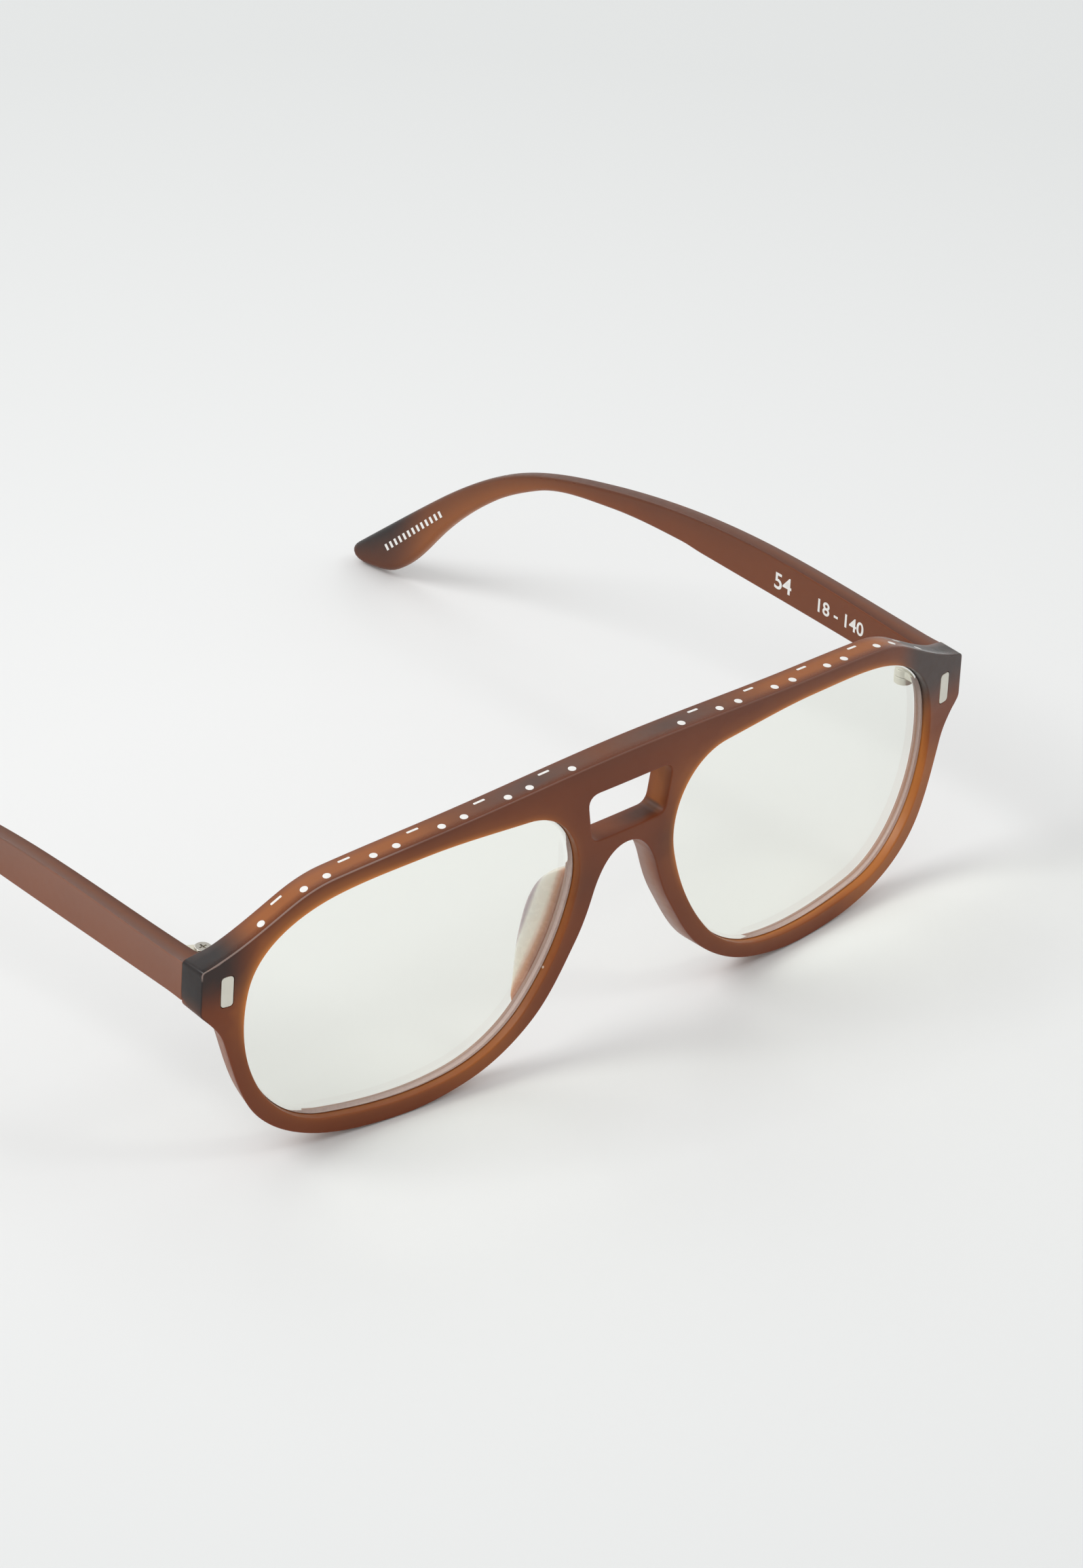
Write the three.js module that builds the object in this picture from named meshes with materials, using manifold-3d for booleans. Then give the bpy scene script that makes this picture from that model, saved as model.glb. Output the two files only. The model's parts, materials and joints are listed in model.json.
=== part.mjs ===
// Full-rim navigator eyeglasses with a double bridge, resting open on a table.
// Millimetres, +Z up. The front faces -Y, the temples run back along +Y, and the
// wearer's left side is +X. The origin is the bottom centre of the whole object.
//
// The front is drawn flat, as the sheet it is cut from: u runs along the brow, v runs up
// from the middle of the brow, and depth runs back from the front face. It is then bent
// round a vertical cylinder, as a sheet front is bent to its base curve.

import * as THREE from 'three';
import { mergeVertices } from 'three/addons/utils/BufferGeometryUtils.js';
import { TessellateModifier } from 'three/addons/modifiers/TessellateModifier.js';
import Module from 'manifold-3d';

// ---------------------------------------------------------------- driving dimensions

const FRONT_HALF_WIDTH = 70;       // along the bent face, at the end pieces
const FRONT_THICKNESS = 4.2;
const WRAP_RADIUS = 342;           // radius that the front is bent to
const SQUARE_FROM = 66;            // from here out the ends are filed square to the temples
const GAP = 0.3;                   // between pieces that touch
const RUN_GAP = 0.2;               // between knuckles that turn on each other

const BRIDGE_WINDOW_TOP = -5.0;
const BRIDGE_WINDOW_BOTTOM = -12.7;
const BRIDGE_WINDOW_HALF_TOP = 7.8;
const BRIDGE_WINDOW_HALF_BOTTOM = 6.6;
const BRIDGE_WINDOW_CORNER = 1.4;

const LENS_THICKNESS = 2.0;
const LENS_FRONT = 1.3;            // depth of the lens behind the front face
const BEVEL_THICKNESS = 0.7;       // ridge round the lens edge
const GROOVE_DEPTH = 0.8;
const GROOVE_WIDTH = BEVEL_THICKNESS + 2 * GAP;

const HINGE_X = 63.7;
const HINGE_Y = 13.9;
const KNUCKLE_RADIUS = 1.35;
const KNUCKLE_BORE = 0.8;
const KNUCKLE_COUNT = 3;
const HINGE_TOP = -14.75;
const HINGE_HEIGHT = 3.6;
const WEB_HALF = 0.9;              // of the front knuckle's web, which starts inside the leaf
const WEB_ROOT_Y = 10.0;
const TEMPLE_KNUCKLE_ANGLE = -15;  // where the temple knuckle's arm leaves the barrel
const TEMPLE_KNUCKLE_RUN = 1.4;    // how far the arm spreads back along the temple leaf
const LEAF_THICKNESS = 0.7;
const LEAF_CORNER = 0.8;
const FRONT_LEAF_FROM = 63.8;
const FRONT_LEAF_TO = 66.1;
const FRONT_LEAF_SINK = 0.4;
const STUD_RADIUS = 0.5;
const STUD_FROM = 3.0;
const TEMPLE_LEAF_START = 1.6;     // behind the front end of the temple
const TEMPLE_LEAF_LENGTH = 4.8;
const TEMPLE_LEAF_PROUD = 0.25;
const OVERLAP = 0.2;               // of two shapes that are joined into one body

const SCREW_RADIUS = 0.6;
const SCREW_HEAD_RADIUS = 1.2;
const SCREW_HEAD_HEIGHT = 0.3;
const SCREW_HEAD_CLEAR = 0.1;      // above the top knuckle
const SCREW_SLOT_WIDTH = 0.36;
const SCREW_SLOT_DEPTH = 0.18;

const PLAQUE_U = 66.05;
const PLAQUE_V = -17.0;
const PLAQUE_WIDTH = 1.9;
const PLAQUE_HEIGHT = 4.75;
const PLAQUE_CORNER = 0.65;
const PLAQUE_THICKNESS = 0.8;
const PLAQUE_PROUD = 0.1;
const PLAQUE_PIN_RADIUS = 0.45;
const PLAQUE_PIN_LENGTH = 0.8;
const PLAQUE_PIN_SPACING = 2.4;

const TEMPLE_FRONT_Y = 11.55;
const TEMPLE_OUTER_X = 69.5;
const TEMPLE_TOE_IN = 0.011;       // sideways run for each millimetre back
const TEMPLE_BOW = 0.0001;
const TEMPLE_THICKNESS_FRONT = 3.4;
const TEMPLE_THICKNESS_TIP = 2.2;
const TEMPLE_THINNING_LENGTH = 25;
const TEMPLE_MITRE_LENGTH = 12;    // the front end's slant dies out over this length
const TEMPLE_MITRE_SLOPE = 0.156;

const PAD_TOP = -18.0;
const PAD_BOTTOM = -37.0;
const PAD_PROUD = 3.6;
const PAD_THICKNESS = 2.4;
const PAD_THINNING = 0.3;          // for each millimetre back
const PAD_ROOT_INSET = 0.4;        // from the nasal edge of the rim
const PAD_FULLNESS = 0.8;          // less than 1 makes the crest line blunter
const PAD_PEAK = 0.6;              // less than 1 puts the highest point above the middle
const PAD_STEPS = 14;
const PAD_SPLAY = 0.85;            // sideways run of the pad for each millimetre back

// Outlines are chains of smooth curves through a few nodes: u, v and heading in degrees.
const RIM_LOWEST = [37.2, -45.6, 180];
const BROW = [
  [0, 0, 0], [30, -1.75, -5], [50, -3.9, -8.5], [56.7, -6.35, -30], [FRONT_HALF_WIDTH, -13.1, -17],
];
const RIM = [
  [FRONT_HALF_WIDTH, -20.0, -134], [66.2, -25.2, -108], [62.3, -35.9, -118], [49.5, -44.5, -167],
  RIM_LOWEST, [26.1, -43.9, 164], [15.7, -38.0, 138], [8.6, -27.8, 120],
  [5.9, -21.3, 107], [0, -14.8, 180],
];
const APERTURE = [
  [62.7, -17.8, 101.5], [49.1, -6.6, 168], [35.6, -5.1, 176], [18.1, -5.4, -177],
  [9.0, -19.6, -77.6], [16.8, -35.5, -50], [28.8, -42.3, -10.7], [49.1, -42.1, 8.4],
];
// Side view of a temple: y, z and heading. The top edge runs back, the lower edge comes forward.
const TEMPLE_TOP = [
  [TEMPLE_FRONT_Y, -13.4, 0], [44, -13.3, -2], [78, -18.1, -14], [100, -26.0, -30],
  [114, -36.3, -41], [130, -50.6, -42],
];
const TEMPLE_LOWER = [
  [131.2, -52.7, -105], [128.0, -53.75, 172], [121.5, -51.7, 143], [112.4, -41.3, 130],
  [101.3, -30.6, 142], [93, -25.3, 151], [77, -20.9, 170], [62, -19.5, 177], [58, -19.6, 180],
  [TEMPLE_FRONT_Y, -19.3, 180],
];

const SMOOTH_DIVISIONS = 7;
const LONGEST_EDGE = 9;
const CIRCLE_SIDES = 20;

// ---------------------------------------------------------------- materials

const acetate = { color: 0x6e4432, roughness: 0.42, metalness: 0 };
const padAcetate = { color: 0xb08c7e, roughness: 0.35, metalness: 0 };
const lensGlass = { color: 0xe4e6df, roughness: 0.05, metalness: 0 };
const plaqueMetal = { color: 0xd2d0c3, roughness: 0.4, metalness: 1 };
const hingeMetal = { color: 0xc9c7bd, roughness: 0.35, metalness: 1 };
const screwMetal = { color: 0xb9b7ae, roughness: 0.3, metalness: 1 };

// ---------------------------------------------------------------- shape helpers

const radians = THREE.MathUtils.degToRad;

function headed(node) {
  const heading = radians(node[2]);
  return new THREE.Vector2(Math.cos(heading), Math.sin(heading));
}

// One smooth curve between two nodes; its handles make it round where the nodes lie on a circle.
function smoothCurve(from, to) {
  const start = new THREE.Vector2(from[0], from[1]);
  const end = new THREE.Vector2(to[0], to[1]);
  const turn = THREE.MathUtils.euclideanModulo(to[2] - from[2] + 180, 360) - 180;
  const handle = start.distanceTo(end) / 3 / Math.cos(radians(turn / 4)) ** 2;
  return new THREE.CubicBezierCurve(
    start,
    start.clone().addScaledVector(headed(from), handle),
    end.clone().addScaledVector(headed(to), -handle),
    end,
  );
}

function chainPoints(nodes) {
  const points = [new THREE.Vector2(nodes[0][0], nodes[0][1])];
  for (let i = 0; i < nodes.length - 1; i += 1) {
    points.push(...smoothCurve(nodes[i], nodes[i + 1]).getPoints(SMOOTH_DIVISIONS).slice(1));
  }
  return points;
}

function closedChainPoints(nodes) {
  return chainPoints([...nodes, nodes[0]]).slice(0, -1);
}

// Moves each point of a closed loop out along the loop's normal there.
function offsetLoop(points, distance) {
  const count = points.length;
  return points.map((point, i) => {
    const along = points[(i + 1) % count].clone().sub(points[(i + count - 1) % count]).normalize();
    return new THREE.Vector2(point.x + along.y * distance, point.y - along.x * distance);
  });
}

function mirrored(points) {
  return points.map((point) => new THREE.Vector2(-point.x, point.y)).reverse();
}

function frontOutline() {
  const right = [...chainPoints(BROW), ...chainPoints(RIM)];
  return [...right, ...mirrored(right).slice(1, -1)];
}

function roundedLoop(corners, radius) {
  const points = [];
  corners.forEach((corner, i) => {
    const before = corners[(i + corners.length - 1) % corners.length];
    const after = corners[(i + 1) % corners.length];
    const toBefore = before.clone().sub(corner).normalize();
    const toAfter = after.clone().sub(corner).normalize();
    const half = Math.acos(toBefore.dot(toAfter)) / 2;
    const reach = radius / Math.tan(half);
    const curve = new THREE.QuadraticBezierCurve(
      corner.clone().addScaledVector(toBefore, reach), corner,
      corner.clone().addScaledVector(toAfter, reach),
    );
    points.push(...curve.getPoints(5));
  });
  return points;
}

function windowOutline() {
  const corners = [
    [BRIDGE_WINDOW_HALF_TOP, BRIDGE_WINDOW_TOP], [-BRIDGE_WINDOW_HALF_TOP, BRIDGE_WINDOW_TOP],
    [-BRIDGE_WINDOW_HALF_BOTTOM, BRIDGE_WINDOW_BOTTOM],
    [BRIDGE_WINDOW_HALF_BOTTOM, BRIDGE_WINDOW_BOTTOM],
  ];
  return roundedLoop(corners.map(([x, y]) => new THREE.Vector2(x, y)), BRIDGE_WINDOW_CORNER);
}

// A rectangle with rounded corners.
function plateOutline(centreU, centreV, width, height, radius) {
  const right = centreU + width / 2;
  const left = centreU - width / 2;
  const top = centreV + height / 2;
  const bottom = centreV - height / 2;
  const corners = [[right, top], [left, top], [left, bottom], [right, bottom]];
  return roundedLoop(corners.map(([x, y]) => new THREE.Vector2(x, y)), radius);
}

// A flat sheet piece: a loop in u and v, from one depth to another, with -Y as its front.
function sheet(points, depthFrom, depthTo, holes = []) {
  const shape = new THREE.Shape(points);
  shape.holes = holes.map((hole) => new THREE.Path(hole));
  const geometry = new THREE.ExtrudeGeometry(shape, { depth: depthTo - depthFrom, bevelEnabled: false });
  geometry.rotateX(Math.PI / 2);
  geometry.translate(0, depthTo, 0);
  return geometry;
}

// A plan shape (x and y) raised from one height to another.
function raised(shape, from, to) {
  const geometry = new THREE.ExtrudeGeometry(
    shape, { depth: to - from, bevelEnabled: false, curveSegments: CIRCLE_SIDES / 2 },
  );
  geometry.translate(0, 0, from);
  return geometry;
}

function block(x0, x1, y0, y1, z0, z1) {
  const geometry = new THREE.BoxGeometry(x1 - x0, y1 - y0, z1 - z0);
  geometry.translate((x0 + x1) / 2, (y0 + y1) / 2, (z0 + z1) / 2);
  return geometry;
}

function upright(radius, from, to, x, y) {
  const geometry = new THREE.CylinderGeometry(radius, radius, to - from, CIRCLE_SIDES);
  geometry.rotateX(Math.PI / 2);
  geometry.translate(x, y, (from + to) / 2);
  return geometry;
}

function pinBack(radius, u, v, depthFrom, depthTo) {
  const geometry = new THREE.CylinderGeometry(radius, radius, depthTo - depthFrom, CIRCLE_SIDES / 2);
  geometry.translate(u, (depthFrom + depthTo) / 2, v);
  return geometry;
}

function mapVertices(geometry, place) {
  const position = geometry.attributes.position;
  for (let i = 0; i < position.count; i += 1) {
    position.setXYZ(i, ...place(position.getX(i), position.getY(i), position.getZ(i)));
  }
  return geometry;
}

// Sheet coordinates (u, depth, v) to the bent front, whose ends are squared up.
function bend(u, depth, v) {
  const radius = WRAP_RADIUS - depth;
  const angle = u / WRAP_RADIUS;
  const squared = THREE.MathUtils.smoothstep(Math.abs(u), SQUARE_FROM, FRONT_HALF_WIDTH);
  const x = (radius + squared * depth) * Math.sin(angle);
  return [x, WRAP_RADIUS - radius * Math.cos(angle), v];
}

// Splits long edges first, so that flat faces follow the bend.
function bent(geometry) {
  const split = new TessellateModifier(LONGEST_EDGE, 12).modify(geometry);
  return mapVertices(split, bend);
}

// A small flat piece keeps its flat faces: it is moved and turned to the bend at its middle.
function setOnBend(geometry, middleU) {
  const angle = middleU / WRAP_RADIUS;
  return mapVertices(geometry, (u, depth, v) => {
    const [x, y] = bend(middleU, 0, 0);
    const side = u - middleU;
    return [
      x + side * Math.cos(angle) - depth * Math.sin(angle),
      y + side * Math.sin(angle) + depth * Math.cos(angle),
      v,
    ];
  });
}

// ---------------------------------------------------------------- joining and cutting

const wasm = await Module();
wasm.setup();

function toSolid(geometry) {
  const bare = geometry.clone();
  bare.deleteAttribute('normal');
  bare.deleteAttribute('uv');
  const merged = mergeVertices(bare, 1e-5);
  return new wasm.Manifold(new wasm.Mesh({
    numProp: 3,
    vertProperties: new Float32Array(merged.attributes.position.array),
    triVerts: new Uint32Array(merged.index.array),
  }));
}

function toGeometry(solid) {
  const { vertProperties, triVerts } = solid.getMesh();
  const geometry = new THREE.BufferGeometry();
  geometry.setAttribute('position', new THREE.BufferAttribute(new Float32Array(vertProperties), 3));
  geometry.setIndex(new THREE.BufferAttribute(new Uint32Array(triVerts), 1));
  return geometry;
}

function joined(geometries) {
  return geometries.slice(1).reduce(
    (solid, geometry) => solid.add(toSolid(geometry)), toSolid(geometries[0]),
  );
}

function cut(solid, geometries) {
  return geometries.reduce((rest, geometry) => rest.subtract(toSolid(geometry)), solid);
}

function unindexed(geometry) {
  return geometry.index ? geometry.toNonIndexed() : geometry;
}

function flipped(geometry) {
  const copy = unindexed(geometry.clone());
  mapVertices(copy, (x, y, z) => [-x, y, z]);
  const position = copy.attributes.position;
  for (let i = 0; i < position.count; i += 3) {
    const second = [position.getX(i + 1), position.getY(i + 1), position.getZ(i + 1)];
    position.setXYZ(i + 1, position.getX(i + 2), position.getY(i + 2), position.getZ(i + 2));
    position.setXYZ(i + 2, ...second);
  }
  return copy;
}

// ---------------------------------------------------------------- pieces, wearer's left side

const aperture = closedChainPoints(APERTURE);
const lensMiddle = LENS_FRONT + LENS_THICKNESS / 2;

function grooveCutter() {
  const from = lensMiddle - GROOVE_WIDTH / 2;
  return sheet(offsetLoop(aperture, GROOVE_DEPTH), from, from + GROOVE_WIDTH);
}

function plaqueOutline(grow) {
  return plateOutline(
    PLAQUE_U, PLAQUE_V, PLAQUE_WIDTH + 2 * grow, PLAQUE_HEIGHT + 2 * grow, PLAQUE_CORNER + grow,
  );
}

function plaquePins(radius, depth) {
  return [-1, 1].map((side) => pinBack(
    radius, PLAQUE_U, PLAQUE_V + side * PLAQUE_PIN_SPACING / 2, OVERLAP, depth,
  ));
}

function plaquePocket() {
  const floor = PLAQUE_THICKNESS - PLAQUE_PROUD + GAP;
  return [
    sheet(plaqueOutline(GAP), -1, floor),
    ...plaquePins(PLAQUE_PIN_RADIUS + GAP, floor + PLAQUE_PIN_LENGTH),
  ];
}

function plaqueGeometry() {
  const loop = plaqueOutline(0);
  const back = PLAQUE_THICKNESS - PLAQUE_PROUD;
  const pins = plaquePins(PLAQUE_PIN_RADIUS, back + PLAQUE_PIN_LENGTH);
  const pieces = [sheet(loop, -PLAQUE_PROUD, back), ...pins];
  return toGeometry(joined(pieces.map((piece) => setOnBend(piece, PLAQUE_U))));
}

const leafMiddleU = (FRONT_LEAF_FROM + FRONT_LEAF_TO) / 2;
const leafMiddleV = HINGE_TOP - HINGE_HEIGHT / 2;

function frontLeafPlate(grow) {
  const width = FRONT_LEAF_TO - FRONT_LEAF_FROM + 2 * grow;
  const loop = plateOutline(
    leafMiddleU, leafMiddleV, width, HINGE_HEIGHT + 2 * grow, LEAF_CORNER,
  );
  const front = FRONT_THICKNESS - FRONT_LEAF_SINK;
  return sheet(loop, front - grow, front + LEAF_THICKNESS + grow);
}

function frontLeafStud(grow) {
  const to = FRONT_THICKNESS - FRONT_LEAF_SINK + OVERLAP;
  return pinBack(STUD_RADIUS + grow, leafMiddleU, leafMiddleV, STUD_FROM - grow, to);
}

function knuckleSpan(index) {
  const height = (HINGE_HEIGHT - (KNUCKLE_COUNT - 1) * RUN_GAP) / KNUCKLE_COUNT;
  const top = HINGE_TOP - index * (height + RUN_GAP);
  return [top - height, top];
}

function knuckleBore() {
  const bore = new THREE.Path();
  bore.absarc(HINGE_X, HINGE_Y, KNUCKLE_BORE, 0, 2 * Math.PI, true);
  return bore;
}

function frontKnuckle(index) {
  const meet = Math.asin(WEB_HALF / KNUCKLE_RADIUS);
  const shape = new THREE.Shape();
  shape.moveTo(HINGE_X - WEB_HALF, WEB_ROOT_Y);
  shape.lineTo(HINGE_X + WEB_HALF, WEB_ROOT_Y);
  shape.absarc(HINGE_X, HINGE_Y, KNUCKLE_RADIUS, meet - Math.PI / 2, 1.5 * Math.PI - meet, false);
  shape.closePath();
  shape.holes.push(knuckleBore());
  return raised(shape, ...knuckleSpan(index));
}

const templeInnerX = TEMPLE_OUTER_X - TEMPLE_THICKNESS_FRONT;
const templeLeafX = templeInnerX - TEMPLE_LEAF_PROUD;

function templeKnuckle(index) {
  const shape = new THREE.Shape();
  const from = radians(TEMPLE_KNUCKLE_ANGLE);
  const rootX = templeLeafX + OVERLAP;
  shape.absarc(HINGE_X, HINGE_Y, KNUCKLE_RADIUS, radians(90), 2 * Math.PI + from, false);
  shape.lineTo(rootX, HINGE_Y + KNUCKLE_RADIUS * Math.sin(from));
  shape.lineTo(rootX, HINGE_Y + KNUCKLE_RADIUS + TEMPLE_KNUCKLE_RUN);
  shape.closePath();
  shape.holes.push(knuckleBore());
  return raised(shape, ...knuckleSpan(index));
}

const frontKnuckles = [1];
const templeKnuckles = [0, 2];

function frontHingeGeometry() {
  const plate = [frontLeafPlate(0), frontLeafStud(0)].map((piece) => setOnBend(piece, leafMiddleU));
  return toGeometry(joined([...plate, ...frontKnuckles.map(frontKnuckle)]));
}

function templeLeafPlate(grow) {
  const from = TEMPLE_FRONT_Y + TEMPLE_LEAF_START;
  return block(
    templeLeafX - grow, templeLeafX + LEAF_THICKNESS + grow,
    from - grow, from + TEMPLE_LEAF_LENGTH + grow,
    HINGE_TOP - HINGE_HEIGHT - grow, HINGE_TOP + grow,
  );
}

function templeHingeGeometry() {
  return toGeometry(joined([templeLeafPlate(0), ...templeKnuckles.map(templeKnuckle)]));
}

function screwGeometry() {
  const headFrom = HINGE_TOP + SCREW_HEAD_CLEAR;
  const headTo = headFrom + SCREW_HEAD_HEIGHT;
  const shankTo = headFrom + OVERLAP;
  const shank = upright(SCREW_RADIUS, HINGE_TOP - HINGE_HEIGHT, shankTo, HINGE_X, HINGE_Y);
  const head = upright(SCREW_HEAD_RADIUS, headFrom, headTo, HINGE_X, HINGE_Y);
  const slot = block(
    HINGE_X - SCREW_SLOT_WIDTH / 2, HINGE_X + SCREW_SLOT_WIDTH / 2,
    HINGE_Y - 2 * SCREW_HEAD_RADIUS, HINGE_Y + 2 * SCREW_HEAD_RADIUS,
    headTo - SCREW_SLOT_DEPTH, headTo + 1,
  );
  return toGeometry(cut(joined([shank, head]), [slot]));
}

function lensGeometry() {
  const plateFrom = lensMiddle - LENS_THICKNESS / 2;
  const ridgeFrom = lensMiddle - BEVEL_THICKNESS / 2;
  const plate = sheet(offsetLoop(aperture, -GAP), plateFrom, plateFrom + LENS_THICKNESS);
  const ridge = sheet(offsetLoop(aperture, GROOVE_DEPTH - GAP), ridgeFrom, ridgeFrom + BEVEL_THICKNESS);
  return bent(unindexed(toGeometry(joined([plate, ridge]))));
}

// Sideways place of the nasal edge of the rim at a height.
function nasalEdge(v) {
  const points = chainPoints(RIM.slice(-5));
  for (let i = 0; i < points.length - 1; i += 1) {
    const low = points[i];
    const high = points[i + 1];
    if (v >= low.y && v <= high.y) {
      return THREE.MathUtils.mapLinear(v, low.y, high.y, low.x, high.x);
    }
  }
  return 0;
}

// A nose pad: a thin fin standing on the back of the nasal rim, splayed outwards.
function nosePadGeometry() {
  const root = FRONT_THICKNESS + GAP;
  const middle = (PAD_TOP + PAD_BOTTOM) / 2;
  const crest = [];
  for (let i = 0; i <= PAD_STEPS; i += 1) {
    const height = Math.cos(Math.PI * (i / PAD_STEPS));
    const down = (1 - height) / 2;
    const proud = PAD_PROUD * Math.max(0, Math.sin(Math.PI * down ** PAD_PEAK)) ** PAD_FULLNESS;
    crest.push(new THREE.Vector2(root + proud, middle + height * (PAD_TOP - middle)));
  }
  const geometry = new THREE.ExtrudeGeometry(
    new THREE.Shape(crest), { depth: 1, bevelEnabled: false },
  );
  const flat = mapVertices(geometry, (depth, v, side) => {
    const back = depth - root;
    const thickness = PAD_THICKNESS - PAD_THINNING * back;
    const inner = nasalEdge(v) + PAD_ROOT_INSET + PAD_SPLAY * back;
    return [inner + side * thickness, depth, v];
  });
  return bent(unindexed(flat));
}

// The outer face of a temple is flush with the end piece and draws in towards the tip.
function templeOuterX(y) {
  const back = y - TEMPLE_FRONT_Y;
  return TEMPLE_OUTER_X - TEMPLE_TOE_IN * back - TEMPLE_BOW * back ** 2;
}

function templeThickness(y) {
  const extra = TEMPLE_THICKNESS_FRONT - TEMPLE_THICKNESS_TIP;
  return TEMPLE_THICKNESS_TIP + extra * Math.exp((TEMPLE_FRONT_Y - y) / TEMPLE_THINNING_LENGTH);
}

function templeGeometry() {
  const outline = [...chainPoints(TEMPLE_TOP), ...chainPoints(TEMPLE_LOWER)];
  const shape = new THREE.Shape(outline);
  const blank = new THREE.ExtrudeGeometry(shape, { depth: 1, bevelEnabled: false });
  const geometry = mapVertices(blank, (y, z, side) => {
    const inward = (1 - side) * templeThickness(y);
    const mitre = Math.max(0, 1 - (y - TEMPLE_FRONT_Y) / TEMPLE_MITRE_LENGTH);
    return [templeOuterX(y) - inward, y - mitre * TEMPLE_MITRE_SLOPE * inward, z];
  });
  return toGeometry(cut(toSolid(geometry), [templeLeafPlate(GAP)]));
}

// ---------------------------------------------------------------- the front

function frontGeometry() {
  const right = [
    grooveCutter(), ...plaquePocket(), frontLeafPlate(GAP), frontLeafStud(GAP),
  ];
  const cutters = [...right, ...right.map(flipped)];
  const blank = sheet(
    frontOutline(), 0, FRONT_THICKNESS, [aperture, mirrored(aperture), windowOutline()],
  );
  return bent(unindexed(toGeometry(cut(toSolid(blank), cutters))));
}

// ---------------------------------------------------------------- assembly

function addPiece(parent, name, geometry, finish) {
  geometry.computeVertexNormals();
  const mesh = new THREE.Mesh(geometry, new THREE.MeshStandardMaterial(finish));
  mesh.name = name;
  parent.add(mesh);
}

function addPair(parent, name, geometry, finish) {
  addPiece(parent, `left_${name}`, geometry, finish);
  addPiece(parent, `right_${name}`, flipped(geometry), finish);
}

// The angle that sets the rim bottoms and the temple tips on one level.
function restTilt() {
  const [tipY, tipZ] = chainPoints(TEMPLE_LOWER).map((point) => [point.x, point.y])
    .reduce((a, b) => (a[1] < b[1] ? a : b));
  const [, rimY, rimZ] = bend(RIM_LOWEST[0], FRONT_THICKNESS, RIM_LOWEST[1]);
  return Math.atan2(rimZ - tipZ, tipY - rimY);
}

const glasses = new THREE.Group();
addPiece(glasses, 'front_frame', frontGeometry(), acetate);
addPair(glasses, 'lens', lensGeometry(), lensGlass);
addPair(glasses, 'nose_pad', nosePadGeometry(), padAcetate);
addPair(glasses, 'plaque', plaqueGeometry(), plaqueMetal);
addPair(glasses, 'front_hinge_leaf', frontHingeGeometry(), hingeMetal);
addPair(glasses, 'temple_hinge_leaf', templeHingeGeometry(), hingeMetal);
addPair(glasses, 'hinge_screw', screwGeometry(), screwMetal);
addPair(glasses, 'temple', templeGeometry(), acetate);

glasses.rotation.x = restTilt();
const box = new THREE.Box3().setFromObject(glasses, true);
const middle = box.getCenter(new THREE.Vector3());
glasses.position.set(-middle.x, -middle.y, -box.min.z);

export default glasses;
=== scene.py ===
# Full-rim navigator eyeglasses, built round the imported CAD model.
# Dimensions are millimetres in the sheet the front is cut from, and become metres in place().
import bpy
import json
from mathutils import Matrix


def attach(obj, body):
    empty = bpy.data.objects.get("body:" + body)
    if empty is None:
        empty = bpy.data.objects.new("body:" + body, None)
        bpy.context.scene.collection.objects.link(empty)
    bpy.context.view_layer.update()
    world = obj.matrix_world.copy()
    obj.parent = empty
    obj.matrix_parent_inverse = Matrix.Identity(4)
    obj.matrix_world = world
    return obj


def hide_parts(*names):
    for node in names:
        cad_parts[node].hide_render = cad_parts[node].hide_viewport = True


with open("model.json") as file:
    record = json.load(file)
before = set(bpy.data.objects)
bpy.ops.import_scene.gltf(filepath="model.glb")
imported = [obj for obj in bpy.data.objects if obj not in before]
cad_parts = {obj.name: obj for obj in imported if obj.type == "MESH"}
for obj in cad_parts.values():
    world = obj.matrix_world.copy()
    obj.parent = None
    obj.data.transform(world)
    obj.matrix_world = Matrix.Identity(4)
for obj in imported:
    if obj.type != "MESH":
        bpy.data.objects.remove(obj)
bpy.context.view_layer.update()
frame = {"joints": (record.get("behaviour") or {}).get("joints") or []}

import json
import math
import bmesh
import bpy
import numpy as np
from mathutils import Matrix, Vector
from mathutils.geometry import delaunay_2d_cdt

# -------- dimensions, the CAD model's where it has them

FRONT_HALF_WIDTH = 70.0
FRONT_THICKNESS = 4.2
WRAP_RADIUS = 342.0
SQUARE_FROM = 66.0

WINDOW_TOP = -5.0
WINDOW_BOTTOM = -12.7
WINDOW_HALF_TOP = 7.8
WINDOW_HALF_BOTTOM = 6.6
WINDOW_CORNER = 1.8

LENS_THICKNESS = 2.0
LENS_FRONT = 1.3
LENS_BULGE = 0.5
LENS_CENTRE = (36.5, -24.0)
LENS_REACH = (31.0, 21.0)

HINGE_X = 63.7
HINGE_Y = 13.9
HINGE_TOP = -14.75
HINGE_HEIGHT = 3.6
HINGE_MIDDLE = HINGE_TOP - HINGE_HEIGHT / 2
KNUCKLE_RADIUS = 1.35
KNUCKLE_COUNT = 3
FRONT_KNUCKLES = (1,)
TEMPLE_KNUCKLES = (0, 2)
KNUCKLE_GAP = 0.08
WEB_HALF = 0.9
SCREW_RADIUS = 0.6
SCREW_HEAD_RADIUS = 1.2
SCREW_HEAD_CLEAR = 0.05
SCREW_HEAD_HEIGHT = 0.3
SCREW_BORE_CLEAR = 0.05
BARREL_EDGE = 0.08
LEAF_THICKNESS = 0.7
LEAF_CLEAR = 0.06
FRONT_LEAF = (63.8, 66.1)
FRONT_LEAF_CORNER = 0.8
FRONT_LEAF_PROUD = 0.3
TEMPLE_LEAF = (13.15, 17.95)
TEMPLE_LEAF_CORNER = 1.2
TEMPLE_LEAF_PROUD = 0.25
LEAF_EDGE = 0.1
SEAT_CLEAR = 0.05

PLAQUE_U = 66.05
PLAQUE_V = -17.0
PLAQUE_WIDTH = 1.9
PLAQUE_HEIGHT = 4.75
PLAQUE_CORNER = 0.65
PLAQUE_PROUD = 0.1
PLAQUE_THICKNESS = 0.6
PLAQUE_CLEAR = 0.09

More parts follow.
